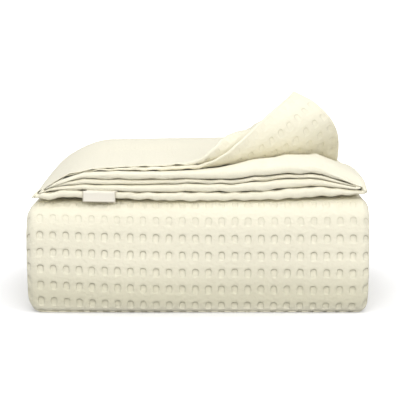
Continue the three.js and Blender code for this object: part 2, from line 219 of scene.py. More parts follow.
def path_table():
    """Columns by distance along the strip: outer and inner edge, half width and blends."""
    rows, marks = [], {}

    def station(outer, inner, half, face=0.0, taper=0.0, hem_in=0.0):
        rows.append((*outer, *inner, half, face, taper, hem_in))

    def back(angle, height, outer, inner, half, taper=0.0, hem_in=0.0):
        c, s = math.cos(angle), math.sin(angle)
        station((LINE_BACK + outer * c, height + outer * s),
                (LINE_BACK + inner * c, height + inner * s), half, 0, taper, hem_in)

    station((TUCK["end"], TUCK["top"]), (TUCK["end"], TUCK["base"]), WIDE["tuck"])
    station((TUCK["full"], MIDDLE_TOP), (TUCK["full"], MIDDLE_TOP - STRIP), WIDE["tuck"])
    marks["low_back"] = len(rows)
    for i in range(BACK_STEPS + 1):
        back(math.pi * (0.5 - i / BACK_STEPS), MIDDLE_TOP / 2, MIDDLE_TOP / 2, GAP / 2,
             WIDE["low_back"])
    marks["floor"] = len(rows) - 1
    station((0, 0), (0, STRIP), WIDE["low"])
    marks["bend"] = len(rows)
    for i in range(FRONT_STEPS + 1):
        angle = math.pi * (i / FRONT_STEPS - 0.5)
        c, s = math.cos(angle), math.sin(angle)
        square = SHOULDER if angle > 0 else FOOT
        radius = BULK_TOP / 2 - STRIP
        station(
            (LINE_FRONT - (LINE_FRONT - FRONT) * float(power(c, 2 / square)),
             BULK_TOP / 2 * (1 + float(power(s, 2 / square)))),
            (LINE_FRONT - radius * c, BULK_TOP / 2 + radius * s),
            mix(WIDE["low"], WIDE["bend"], float(smooth(BEND_WIDENING * c))), c * c)
    marks["shoulder"] = len(rows) - 1
    station((0, BULK_TOP), (0, BULK_TOP - STRIP), WIDE["top"])
    marks["up_back"] = len(rows)
    for i in range(BACK_STEPS + 1):
        back(math.pi * (i / BACK_STEPS - 0.5), BULK_TOP + GAP / 2, GAP / 2, STRIP + GAP / 2,
             WIDE["up_back"], float(smooth(i / BACK_STEPS)), i / (2 * BACK_STEPS))
    t = np.array(rows)
    outer = np.hypot(np.diff(t[:, 0]), np.diff(t[:, 1]))
    inner = np.hypot(np.diff(t[:, 2]), np.diff(t[:, 3]))
    length = np.concatenate(([0], np.cumsum(np.maximum(outer, inner) + 1e-9)))
    return length, t, {k: length[i] for k, i in marks.items()}


PATH, STATIONS, STOPS = path_table()
BULK_RUN = PATH[-1]
TOTAL_RUN = BULK_RUN + UPPER_RUN


def front_height(x, v):
    """The front edge's own heights at a place across it, in place of even ones."""
    columns = np.stack([np.interp(x, FRONT_HEIGHTS[:, 0], FRONT_HEIGHTS[:, 1 + i])
                        for i in range(LEAVES + 1)], 1)
    leaf = np.clip(np.floor(v / PITCH), 0, LEAVES - 1).astype(int)
    rows = np.arange(len(x))
    return mix(columns[rows, leaf], columns[rows, leaf + 1], v / PITCH - leaf)


def tapered(v, x, half, amount):
    """The height that is left near the side folds of the upper pass at the back."""
    def rise(distance, length):
        return mix(TAPER["least"], 1, np.sin(np.pi / 2 * np.clip(distance / length, 0, 1)))

    share = np.minimum(rise(half + x, TAPER["left"]), rise(half - x, TAPER["right"]))
    return mix(v, TAPER["tip"] + (v - TAPER["tip"]) * share, amount)


def drawn_hem(x, leaf, hem_in):
    """Leaves 4 and 5 end nearer their fold at the corner than in the lower pass."""
    out = x.copy()
    for number, corner in HEM_AT_CORNER.items():
        end = mix(HEM_IN_BULK, corner, hem_in)
        moved = mix(LEFT_BEND, end, (x - LEFT_BEND) / (corner - LEFT_BEND))
        out = np.where((leaf == number) & (x > LEFT_BEND), moved, out)
    return out


def drawn_in(x, amount):
    """The upper pass's left side lies further in toward the back."""
    return x + DRAWN_IN["most"] * amount * smooth((-x - DRAWN_IN["from"]) / DRAWN_IN["over"])


def bulk_place(x, v, leaf, b):
    """A place in the lower pass, the back bends and the front bend."""
    oy, oz, iy, iz, half, face, taper, hem_in = (
        np.interp(b, PATH, STATIONS[:, i]) for i in range(8))
    x = drawn_in(drawn_hem(x, leaf, hem_in) / HALF_WIDTH * half, taper)
    height = tapered(v, x, half, taper)
    t = height / STRIP
    wave = (face * FACE_WAVE["deep"] * np.sin(x / FACE_WAVE["across"])
            * np.sin(oz / FACE_WAVE["up"] + 1))
    low = np.clip((BELLY["top"] - oz) / BELLY["top"], 0, 1) ** 2
    wave = wave + BELLY["most"] * smooth(face * BELLY["face"]) * low * (1 - t)
    return np.stack((x, mix(oy, iy, t) + wave, mix(oz, iz, t)), 1)


def upper_height(x, y, v, half, progress):
    """Height in the upper pass: tapered at the back, the front edge's own at the front."""
    forward = smooth((LINE_BACK - y) / (LINE_BACK - FRONT))
    loft = 1 + LOFT["share"] * np.sin(np.pi * np.clip(progress / LOFT["over"], 0, 1))
    at_back = tapered(v, x - UPPER_SHIFT * progress, half, 1) * loft
    height = mix(at_back, front_height(x, v), forward)
    ripple = RIPPLE["high"] * np.sin(x / RIPPLE["across"] + v / RIPPLE["through"]) * forward
    return UPPER_BASE + height + ripple * np.clip(height / STRIP, 0, 1)


def upper_place(x, v, leaf, b, hem, phase):
    """A place in the upper pass, with leaves 4 and 5 rolled up about the crease."""
    progress = (b - BULK_RUN) / UPPER_RUN
    x = drawn_hem(x, leaf, np.clip(0.5 + 1.25 * progress, 0, 1))
    half = mix(WIDE["up_back"], WIDE["upper"], progress)
    wave = (SIDE_WAVE["deep"] * np.sin(progress * SIDE_WAVE["along"] + v / SIDE_WAVE["through"])
            * progress)
    x = x / HALF_WIDTH * (half + wave) + UPPER_SHIFT * progress
    x = drawn_in(x, 1 - smooth(progress / DRAWN_IN["until"]))
    front = hem + HEM_WAVE["deep"] * np.sin(x / HEM_WAVE["across"] + phase)
    y = mix(LINE_BACK, front, progress)
    out = np.stack((x, y, upper_height(x, y, v, half, progress)), 1)
    cos, sin = math.cos(CREASE), -math.sin(CREASE)
    past = (x - CORNER[0]) * cos + (y - CORNER[1]) * sin + ROLLS[4][0]
    lift = np.minimum(np.maximum(past, 0) ** 2 / LEAF_LIFT["curve"], LEAF_LIFT["most"])
    lift = lift * smooth((y - FRONT - LEAF_LIFT["behind"]) / LEAF_LIFT["over"])
    out[:, 2] += np.where(leaf == LEAF_LIFT["leaf"], lift, 0)
    for number, (reach, tight, tight_run, free, cone) in ROLLS.items():
        fx, fy = x - CORNER[0], y - CORNER[1]
        past = fx * cos + fy * sin + reach
        on = (leaf == number) & (past > 0)
        past, fx, fy = past[on], fx[on], fy[on]
        curl = tight * np.exp(-cone * (fy * cos - fx * sin))
        first = curl * np.minimum(past, tight_run)
        turned = first + free * np.maximum(0, past - tight_run)
        along = np.sin(first) / curl + (np.sin(turned) - np.sin(first)) / free
        up = (1 - np.cos(first)) / curl + (np.cos(first) - np.cos(turned)) / free
        if number == 4:
            low = smooth(past / HEM_LIFT["over"])
            low = low * (1 - smooth((past - HEM_LIFT["until"]) / HEM_LIFT["fade"]))
            side = smooth((x[on] - HEM_LIFT["right_of"]) / HEM_LIFT["side"])
            up = up + HEM_LIFT["most"] * low * side
        off = v[on] - (number + 0.5) * PITCH
        foot = np.stack((x[on] - past * cos, y[on] - past * sin), 1)
        flat = np.full(len(foot), (number + 0.5) * PITCH)
        base = upper_height(foot[:, 0], foot[:, 1], flat, half[on], progress[on])
        go = along - off * np.sin(turned)
        out[on] = np.stack((foot[:, 0] + go * cos, foot[:, 1] + go * sin,
                            base + up + off * np.cos(turned)), 1)
    return out


def roll_amount(s, b):
    """How far past its crease a place on leaves 4 and 5 lies, flat on the upper pass."""
    x = np.interp(s, ALONG, SECTION[0])
    y = LINE_BACK - (b - BULK_RUN)
    past = (x - CORNER[0]) * math.cos(CREASE) - (y - CORNER[1]) * math.sin(CREASE)
    return past + ROLL_FROM


CELL = 15.17  # the weave's repeat, which scallops the hems
HEM_PUFF = {"times": 1.95, "from": 34, "over": 26}  # front hems are turned and stand thicker
END_ROUND = 4.2  # length of their rounded edge
SCALLOP = {"deep": 0.9, "from": 16, "over": 14, "even": 0.6, "uneven": 0.4, "drift": 37}
WRINKLE = {"high": 0.6, "cells": 1.37, "fine": 0.4, "fine_along": 5.3}


def placed(a, b):
    """Where the cloth's place (a round the outline, b along the strip) lies, in metres."""
    s, face, round_hem = outline_at(a)
    x, v, leaf, hem, phase, nx, nv = (np.interp(s, ALONG, c) for c in SECTION)
    leaf = np.round(leaf)
    turned_up = ((leaf == 4) | (leaf == 5)) * smooth(roll_amount(s, b) / 30)
    from_front = smooth((b - TOTAL_RUN + HEM_PUFF["from"]) / HEM_PUFF["over"])
    puff = 1 + (HEM_PUFF["times"] - 1) * from_front * (1 - turned_up)
    front_end = np.clip((b - TOTAL_RUN + 0.01) / END_ROUND + 1, 0, 1)
    tuck_end = np.clip(1 - b / END_ROUND, 0, 1)
    end = np.maximum(front_end, tuck_end)
    half_thick = THICK / 2 * puff * np.sqrt(np.clip(1 - end ** 2, 0, 1))
    x = x + nx * face * half_thick + HEM_ROUND * round_hem * half_thick / (THICK / 2)
    v = v + nv * face * half_thick
    bulk = b < BULK_RUN
    out = np.empty((len(a), 3))
    out[bulk] = bulk_place(x[bulk], v[bulk], leaf[bulk], b[bulk])
    up = ~bulk
    out[up] = upper_place(x[up], v[up], leaf[up], b[up], hem[up], phase[up])
    near = smooth((b - TOTAL_RUN + SCALLOP["from"]) / SCALLOP["over"]) * (1 - 0.5 * turned_up)
    scallop = np.cos(2 * np.pi * s / CELL) * (
        SCALLOP["even"] + SCALLOP["uneven"] * np.sin(s / SCALLOP["drift"] + leaf))
    out[:, 1] -= SCALLOP["deep"] * near * scallop
    out[:, 2] += near * (
        WRINKLE["high"] * np.sin(2 * np.pi * s / (CELL * WRINKLE["cells"]) + leaf)
        + WRINKLE["fine"] * np.sin(s / WRINKLE["fine_along"]))
    out[:, 2] = UNDERSIDE + (out[:, 2] - UNDERSIDE) * (1 + LEAN * out[:, 0] / HALF_WIDTH)
    return (out + ORIGIN) * MM


# ---- The waffle: cells by distance along the cloth and along the strip. ----

COLUMN_AT = -2.5  # a column of pits runs here, across the bulk's front
COLUMN_DRIFT = 3.0  # the columns crowd this much near the left side
ROW_AT = 118.1  # and a row of them this far past the start of the front bend
ROW_RISE = 6.5  # the rows climb this much toward the left side
ROW_FALL = 1.5  # and fall this much toward the right side
DRIFT_FROM, DRIFT_OVER = 50, 130
ROW_MIDDLE, ROW_LEFT, ROW_RIGHT, ROW_CURVE = 8, 191, 190, 1.5
PIT_SQUARENESS = 3
PIT_WALL = 1.3  # width of a pit's sloping wall
PIT_FLOOR = {"lower_edge": 0.3, "over": 1.5}  # a pit is shallower at its lower edge
CROWN = 0.08  # the ridges' swell, as a share of the pits' depth


def cell_place(s, b, x):
    """Where a place lies on the weave, across and up from the middle of a pit."""
    drift = COLUMN_DRIFT * np.clip((-x - DRIFT_FROM) / DRIFT_OVER, 0, 1)
    across = s - (MARKS["leaf0"] + COLUMN_AT - LEFT_BEND) - drift
    slope = (ROW_RISE * np.clip((ROW_MIDDLE - x) / ROW_LEFT, 0, 1) ** ROW_CURVE
             - ROW_FALL * np.clip((x - ROW_MIDDLE) / ROW_RIGHT, 0, 1))
    return across, b - STOPS["bend"] - ROW_AT - slope


def waffle_depth(across, up, size):
    """Depth of the pits, 0 to 1, from a place on the weave in millimetres."""
    wide, high = size.cell_width / MM, size.cell_height / MM
    px = (across / wide - np.round(across / wide)) * wide
    py = (up / high - np.round(up / high)) * high
    hx, hy = size.pit_width / MM / 2, size.pit_height / MM / 2
    square = PIT_SQUARENESS
    r = (np.abs(px / hx) ** square + np.abs(py / hy) ** square) ** (1 / square)
    inside = smooth((1 - r) * hx / PIT_WALL + 0.5)
    floor = mix(PIT_FLOOR["lower_edge"], 1, smooth((py + hy) / (PIT_FLOOR["over"] * hy)))
    crown = CROWN * (np.cos(2 * np.pi * px / wide) + np.cos(2 * np.pi * py / high))
    return inside * floor + crown


# ---- The cloth's grid. ----

LEAF_4_SEEN, LEAF_5_SEEN = 190, 150  # the turned-up parts lie within this of their hems
HIDDEN = 41  # spacing of the lines inside the stack

def lines_between(*spans):
    """Grid lines through spans of (end, spacing), starting at 0."""
    lines, at = [0.0], 0.0
    for end, spacing in spans:
        count = max(1, round((end - at) / spacing))
        lines += list(np.linspace(at, end, count + 1)[1:])
        at = end
    return np.array(lines)


def cloth_lines():
    """Lines round the outline and along the strip: close where the cloth is seen or bent."""
    m, length = MARKS, CLOTH_LENGTH
    face = [(LEAF_5_SEEN, 8), (m["left"], 14), (m["leaf0"], 6), (m["right"], 15.2),
            (m["leaf3"], 6), (m["left3"], HIDDEN), (m["leaf2"], 2.8), (m["right2"], HIDDEN),
            (m["leaf1"], 2.8), (m["left1"], HIDDEN), (m["leaf4"], 6),
            (m["leaf4"] + LEAF_4_SEEN, 19), (length, 8)]
    across = lines_between(*face)
    cap = np.linspace(-CAP, CAP, 7)[1:-1]
    outline = [np.linspace(0, CAP, 4)[:-1], CAP + across, 2 * CAP + length + cap,
               distance_round(across, 1)[::-1],
               distance_round(0, 1) + np.linspace(0, CAP, 4)[1:]]
    p = STOPS
    along = lines_between(
        (END_ROUND, 1.1), (p["low_back"], 32), (p["floor"], 8), (p["bend"], 32),
        (p["shoulder"], 8.4), (p["up_back"], 32), (BULK_RUN, 8), (BULK_RUN + 90, 15),
        (TOTAL_RUN - 14, 8), (TOTAL_RUN - END_ROUND, 4), (TOTAL_RUN, 0.75))
    return np.concatenate(outline), along


def refine(bm, a_range, b_range, cuts_a, cuts_b):
    """Cuts the grid finer inside a rectangle of it, in each direction on its own."""
    for axis, cuts in ((0, cuts_a), (1, cuts_b)):
        if not cuts:
            continue
        edges = []
        for edge in bm.edges:
            one, two = edge.verts[0].co, edge.verts[1].co
            if abs(one[1 - axis] - two[1 - axis]) > 1e-3:
                continue
            a, b = (one[0] + two[0]) / 2, (one[1] + two[1]) / 2
            if a_range[0] <= a <= a_range[1] and b_range[0] <= b <= b_range[1]:
                edges.append(edge)
        bmesh.ops.subdivide_edges(bm, edges=edges, cuts=cuts, use_grid_fill=True)


def distance_at(height):
    """Distance along the strip where its outer edge reaches a height on the front bend."""
    bend = (PATH >= STOPS["bend"]) & (PATH <= STOPS["shoulder"])
    return float(np.interp(height, STATIONS[bend, 1], PATH[bend]))


TOP_ROW = distance_at(116.0)
TOP_ROW_SHARE = 0.45  # the row of pits on the shoulder is fainter
TOP_SHARE = (0.75, 0.05)  # over the upper pass, at its back and further forward
FLAP_SHARE, CURL_SHARE = 0.5, 0.7


def waffle_amount(s, face, b):
    """How strongly the waffle stands, 0 to 1: plain at the hems and over the upper pass's top."""
    m, p = MARKS, STOPS
    outside = face < -0.5
    wrap = window(s, m["left"] - 4, m["leaf3"] + 4, 6) * outside
    bulk = wrap * window(b, p["low_back"], p["up_back"], 10)
    bulk = bulk * mix(1, TOP_ROW_SHARE, window(b, TOP_ROW, TOP_ROW + 60, 8))
    top = outside * (s < m["leaf0"]) * smooth((b - p["up_back"]) / 12)
    top = top * mix(*TOP_SHARE, smooth((b - BULK_RUN + 40) / 60))
    past = roll_amount(s, b)
    rolled = smooth((past + 8) / 24) * (b > BULK_RUN)
    flap = outside * (s > m["leaf4"] + 150) * rolled * FLAP_SHARE
    curl = (face > 0.5) * (s < m["left"]) * rolled * CURL_SHARE
    amount = np.maximum.reduce([bulk, top, flap, curl])
    ends = np.minimum(np.minimum(s, CLOTH_LENGTH - s), TOTAL_RUN - b)
    return amount * smooth((ends - 3) / 5)


def make_cloth_mesh(size):
    """The cloth's grid, laid out, cut finer where it is seen and sunk at the pits."""
    a_lines, b_lines = cloth_lines()
    bm = bmesh.new()
    bmesh.ops.create_grid(bm, x_segments=len(a_lines) - 1, y_segments=len(b_lines) - 1, size=1)
    for v in bm.verts:
        i = round((v.co.x + 1) / 2 * (len(a_lines) - 1))
        j = round((v.co.y + 1) / 2 * (len(b_lines) - 1))
        v.co = (a_lines[i], b_lines[j], 0)
    m, p = MARKS, STOPS
    whole = (0, 2 * CLOTH_LENGTH + 4 * CAP)
    face = (distance_round(m["left"] - 8, -1), distance_round(m["leaf3"] + 6, -1))
    left_fold = (face[0], distance_round(m["leaf0"] + 8, -1))
    right_fold = (distance_round(m["right"] - 8, -1), face[1])
    refine(bm, face, (p["bend"] - 4, p["shoulder"] + 20), 7, 3)
    refine(bm, face, (p["low_back"], p["floor"]), 3, 1)
    for fold in (left_fold, right_fold):
        refine(bm, fold, (END_ROUND, p["low_back"]), 1, 7)
        refine(bm, fold, (p["floor"], p["bend"] - 4), 1, 7)
        refine(bm, fold, (p["shoulder"] + 20, p["up_back"]), 1, 7)
    refine(bm, (CAP, distance_round(m["leaf0"], -1)), (p["up_back"], BULK_RUN + 20), 2, 1)
    leaf_4 = (distance_round(m["leaf4"] + LEAF_4_SEEN, -1), distance_round(CLOTH_LENGTH, -1))
    leaf_5 = (distance_round(LEAF_5_SEEN, 1), distance_round(0, 1))
    for leaf_end in (leaf_4, leaf_5):
        refine(bm, leaf_end, (BULK_RUN + 60, TOTAL_RUN - 14), 2, 2)
    refine(bm, whole, (TOTAL_RUN - 13.9, TOTAL_RUN), 2, 0)
    bm.verts.index_update()
    co = np.array([v.co for v in bm.verts])
    a, b = co[:, 0], co[:, 1]
    s, side, _ = outline_at(a)
    where = placed(a, b)
    across, up = cell_place(s, b, where[:, 0] / MM)
    amount = waffle_amount(s, side, b)
    relief = amount * waffle_depth(across, up, size) * size.pit_depth * MM
    uv = bm.loops.layers.uv.new("Weave")
    for polygon in bm.faces:
        polygon.smooth = True
        for loop in polygon.loops:
            i = loop.vert.index
            loop[uv].uv = (across[i] * MM, up[i] * MM)
    layer = bm.verts.layers.float.new("waffle")
    hem = bm.verts.layers.float.new("hem")
    edge = np.minimum(np.minimum(s, CLOTH_LENGTH - s), TOTAL_RUN - b)
    sunk = bm.verts.layers.float.new("sunk")
    for v, place, w, e, r in zip(bm.verts, where, amount, edge, relief):
        v.co = place
        v[layer] = w
        v[hem] = e * MM
        v[sunk] = r
    bmesh.ops.remove_doubles(bm, verts=bm.verts, dist=2e-6)
    bmesh.ops.triangulate(bm, faces=[f for f in bm.faces if len(f.verts) > 4])
    bmesh.ops.recalc_face_normals(bm, faces=bm.faces)
    bm.normal_update()
    moved = [v.co - v.normal * v[sunk] for v in bm.verts]
    for v, place in zip(bm.verts, moved):
        place.z = max(place.z, 0.0)
        v.co = place
    mesh = bpy.data.meshes.new("waffle_cloth")
    bm.to_mesh(mesh)
    bm.free()
    return mesh


# ---- Materials. ----

PIT_WANDER = 0.0016  # how unevenly the pits' edges run
# Painted shade: the ring, upper and side ramps mask the darkened edges over each pit, and the last
# entry sets how strong the sides' painted shade is.
RIM = {  # ramps by distance from a pit's middle, 1 at its edge, or by place across and up it
    "pit": (1.2, 0.8), "inner": (0.8, 0.94), "outer": (1.14, 1.02), "upper": (0.35, 0.75),
    "side": (0.55, 0.85), "side_up": (-0.7, 0.3), "side_shade_share": 0.45}
STITCHES = {"inner": (0.0026, 0.003), "outer": (0.004, 0.0036), "pace": 2100.0,
            "gap": (0.02, 0.3)}
# Painted shade near the floor: the heights in metres over which it comes in from above (top) and
# fades again at the very foot (foot); its strength is the low entry below.
LOW_SHADE = {"top": (0.07, 0.018), "foot": (0.002, 0.014)}
TINT_AND_SHADE = {"warm": 0.12, "threads": 0.16, "low": 0.5, "stitches": 0.12}
RELIEF = {"threads": 0.07, "pits": 0.8, "stitches": 0.12, "crumple": 0.9}  # millimetres
RIBBON = {"thread": 0.00045, "unevenness": 0.1, "border": (0.0012, 0.0007),
          "border_share": 0.8, "threads": 0.12, "relief": 0.05, "border_relief": -0.08}

class Nodes:
    """Adds and links the nodes of one tree."""

    def __init__(self, tree):
        self.tree = tree

    def add(self, kind, inputs=(), **settings):
        node = self.tree.nodes.new(kind)
        for name, value in settings.items():
            setattr(node, name, value)
        for name, value in dict(inputs).items():
            self.feed(node.inputs[name], value)
        return node

    def feed(self, socket, value):
        if isinstance(value, bpy.types.NodeSocket):
            self.tree.links.new(value, socket)
        else:
            socket.default_value = value

    def math(self, operation, *values, clamp=False):
        node = self.add("ShaderNodeMath", operation=operation, use_clamp=clamp)
        for socket, value in zip(node.inputs, values):
            self.feed(socket, value)
        return node.outputs[0]

    def ramp(self, value, low, high):
        """0 below low to 1 above high, smoothly."""
        node = self.add("ShaderNodeMapRange", interpolation_type="SMOOTHSTEP")
        for socket, part in zip(node.inputs, (value, low, high, 0.0, 1.0)):
            self.feed(socket, part)
        return node.outputs[0]

    def blend(self, share, one, two):
        """A colour between two, by share."""
        node = self.add("ShaderNodeMix", data_type="RGBA", blend_type="MIX")
        for i, part in ((0, share), (6, one), (7, two)):
            self.feed(node.inputs[i], part)
        return node.outputs[2]


def node_group(name, inputs, outputs):
    """A new group with float or vector inputs and float outputs, its tools and its two ends."""
    group = bpy.data.node_groups.new(name, "ShaderNodeTree")
    for label, kind, default in inputs:
        socket = group.interface.new_socket(label, in_out="INPUT", socket_type=kind)
        if default is not None:
            socket.default_value = default
    for label in outputs:
        group.interface.new_socket(label, in_out="OUTPUT", socket_type="NodeSocketFloat")
    n = Nodes(group)
    return group, n, n.add("NodeGroupInput").outputs, n.add("NodeGroupOutput").inputs


def thread_group():
    """Warp and weft threads crossing one over one, from a weave place in metres."""
    if "woven_threads" in bpy.data.node_groups:
        return bpy.data.node_groups["woven_threads"]
    group, n, ins, outs = node_group(
        "woven_threads",
        [("Place", "NodeSocketVector", None), ("Thread", "NodeSocketFloat", 0.0011),
         ("Unevenness", "NodeSocketFloat", 0.3)],
        ["Height", "Tone"])
    wander = n.add("ShaderNodeTexNoise", {"Vector": ins["Place"], "Scale": 160.0, "Detail": 2.0})
    shift = n.math("MULTIPLY", n.math("SUBTRACT", wander.outputs["Fac"], 0.5), ins["Unevenness"])
    place = n.add("ShaderNodeSeparateXYZ", {"Vector": ins["Place"]})
    waves = []
    for axis in (0, 1):
        turns = n.math("ADD", n.math("DIVIDE", place.outputs[axis], ins["Thread"]), shift)
        waves.append(n.math("MULTIPLY", turns, math.pi))
    warp = n.math("ABSOLUTE", n.math("SINE", waves[0]))
    weft = n.math("ABSOLUTE", n.math("SINE", waves[1]))
    over = n.math("MULTIPLY", n.math("COSINE", waves[0]), n.math("COSINE", waves[1]))
    pick = n.ramp(over, -0.3, 0.3)
    height = n.math("ADD", n.math("MULTIPLY", warp, pick),
                    n.math("MULTIPLY", weft, n.math("SUBTRACT", 1.0, pick)))
    group.links.new(height, outs["Height"])
    fuzz = n.add("ShaderNodeTexNoise", {"Vector": ins["Place"], "Scale": 900.0, "Detail": 3.0})
    group.links.new(n.math("ADD", n.math("MULTIPLY", height, 0.6),
                           n.math("MULTIPLY", fuzz.outputs["Fac"], 0.4)), outs["Tone"])
    return group


def cell_group():
    """The waffle's pits and masks for the painted shade on the upper and side edges over each one,
    from a weave place in metres.
    """
    group, n, ins, outs = node_group(
        "waffle_cells",
        [("Place", "NodeSocketVector", None), ("Cell Width", "NodeSocketFloat", 0.015),
         ("Cell Height", "NodeSocketFloat", 0.02), ("Pit Width", "NodeSocketFloat", 0.007),
         ("Pit Height", "NodeSocketFloat", 0.01)],
        ["Pit", "Upper Edge Shade", "Side Edge Shade"])
    place = n.add("ShaderNodeSeparateXYZ", {"Vector": ins["Place"]})
    wander = n.add("ShaderNodeTexNoise", {"Vector": ins["Place"], "Scale": 95.0, "Detail": 1.0})
    offset = n.add("ShaderNodeSeparateXYZ", {"Vector": wander.outputs["Color"]})
    parts = []
    for axis, cell, pit in ((0, "Cell Width", "Pit Width"), (1, "Cell Height", "Pit Height")):
        moved = n.math("ADD", place.outputs[axis],
                       n.math("MULTIPLY", n.math("SUBTRACT", offset.outputs[axis], 0.5),
                              PIT_WANDER))
        cells = n.math("DIVIDE", moved, ins[cell])
        inside = n.math("SUBTRACT", cells, n.math("ROUND", cells))
        reach = n.math("MULTIPLY", inside, n.math("MULTIPLY", ins[cell], 2.0))
        parts.append(n.math("DIVIDE", reach, ins[pit]))
    px, py = parts
    cubes = [n.math("POWER", n.math("ABSOLUTE", part), 3.0) for part in parts]
    r = n.math("POWER", n.math("ADD", *cubes), 1 / 3)
    pit = n.ramp(r, *RIM["pit"])
    # Masks for painted shade: a ring at the pit's edge, its upper part and its sides.
    ring = n.math("MULTIPLY", n.ramp(r, *RIM["inner"]), n.ramp(r, *RIM["outer"]))
    upper = n.math("MULTIPLY", ring, n.ramp(py, *RIM["upper"]))
    beside = n.ramp(n.math("ABSOLUTE", px), *RIM["side"])
    side_shade = n.math("MULTIPLY", ring, n.math("MULTIPLY", beside, n.ramp(py, *RIM["side_up"])))
    group.links.new(pit, outs["Pit"])
    group.links.new(upper, outs["Upper Edge Shade"])
    group.links.new(side_shade, outs["Side Edge Shade"])
    return group


def shader(material, n, roughness, sheen, **inputs):
    """The material's Principled shader, with its plain values set on its own sockets."""
    node = material.node_tree.nodes["Principled BSDF"]
    node.inputs["Roughness"].default_value = roughness
    node.inputs["Sheen Weight"].default_value = sheen
    node.inputs["Sheen Roughness"].default_value = 0.6
    node.inputs["Specular IOR Level"].default_value = 0.2
    for name, value in inputs.items():
        n.feed(node.inputs[name.replace("_", " ")], value)
    return node


def cotton_material(size):
    """Ivory cotton: waffle pits, woven threads, hem stitches, a random warmer tone, painted shade
    on the pits' edges and floors and painted shade toward the floor.
    """
    material = bpy.data.materials.new("ivory_waffle_cotton")
    material.use_nodes = True
    n = Nodes(material.node_tree)
    weave = n.add("ShaderNodeUVMap", uv_map="Weave").outputs[0]
    amount = n.add("ShaderNodeAttribute", attribute_name="waffle").outputs["Fac"]
    edge = n.add("ShaderNodeAttribute", attribute_name="hem").outputs["Fac"]
    cells = n.add("ShaderNodeGroup", node_tree=cell_group())
    threads = n.add("ShaderNodeGroup", node_tree=thread_group())
    for node in (cells, threads):
        n.feed(node.inputs["Place"], weave)
    for name in ("cell_width", "cell_height", "pit_width", "pit_height"):
        cells.inputs[name.replace("_", " ").title()].default_value = getattr(size, name)
    place = n.add("ShaderNodeTexCoord").outputs["Object"]
    tone = n.add("ShaderNodeTexNoise", {"Vector": place, "Scale": 14.0, "Detail": 4.0})
    crumple = n.add("ShaderNodeTexNoise", {"Vector": weave, "Scale": 230.0, "Detail": 3.0})
    # Painted shade: the upper and side edges over each pit and the pit's floor are darkened toward
    # the pit shade colour, standing for the shade the rib above casts into the pit.
    rim_shade = n.math("ADD", cells.outputs["Upper Edge Shade"],
                  n.math("MULTIPLY", cells.outputs["Side Edge Shade"], RIM["side_shade_share"]))
    dark = n.math("MULTIPLY", n.math("MULTIPLY", rim_shade, amount), size.edge_shade)
    dark = n.math("ADD", dark, n.math("MULTIPLY", n.math("MULTIPLY", cells.outputs["Pit"], amount),
                                      size.pit_shade), clamp=True)
    stitch_line = n.math("MULTIPLY", n.ramp(edge, *STITCHES["inner"]),
                         n.ramp(edge, *STITCHES["outer"]))
    along = n.add("ShaderNodeSeparateXYZ", {"Vector": weave})
    waves = [n.math("SINE", n.math("MULTIPLY", along.outputs[axis], STITCHES["pace"]))
             for axis in (0, 1)]
    dashes = n.math("ABSOLUTE", n.math("MULTIPLY", *waves))
    stitch = n.math("MULTIPLY", stitch_line, n.ramp(dashes, *STITCHES["gap"]))
    colour = n.blend(dark, (*size.cloth_colour, 1), (*size.shade_and_thread_colour, 1))
    colour = n.blend(n.math("MULTIPLY", tone.outputs["Fac"], TINT_AND_SHADE["warm"]), colour,
                     (*size.warm_colour, 1))
    between = n.math("SUBTRACT", 1.0, threads.outputs["Tone"])
    colour = n.blend(n.math("MULTIPLY", between, TINT_AND_SHADE["threads"]), colour,
                     (*size.shade_and_thread_colour, 1))
    # Painted shade: the cloth turns toward the low shade colour some 15 to 20 mm above the floor,
    # fading out by 70 mm and again at the floor itself.
    height_up = n.add("ShaderNodeSeparateXYZ", {"Vector": place}).outputs[2]
    low = n.math("MULTIPLY", n.ramp(height_up, *LOW_SHADE["top"]),
                 n.ramp(height_up, *LOW_SHADE["foot"]))
    colour = n.blend(n.math("MULTIPLY", low, TINT_AND_SHADE["low"]), colour, (*size.low_shade_colour, 1))
    colour = n.blend(n.math("MULTIPLY", stitch, TINT_AND_SHADE["stitches"]), colour,
                     (*size.shade_and_thread_colour, 1))
    pits = n.math("MULTIPLY", cells.outputs["Pit"], amount)
    height = n.math("SUBTRACT", n.math("MULTIPLY", threads.outputs["Height"], RELIEF["threads"]),
                    n.math("MULTIPLY", pits, RELIEF["pits"]))
    height = n.math("SUBTRACT", height, n.math("MULTIPLY", stitch, RELIEF["stitches"]))
    height = n.math("ADD", height, n.math("MULTIPLY", crumple.outputs["Fac"], RELIEF["crumple"]))
    bump = n.add("ShaderNodeBump", {"Strength": 1.0, "Distance": 0.001, "Height": height})
    shader(material, n, 0.92, 0.25, Base_Color=colour, Normal=bump.outputs[0])
    return material


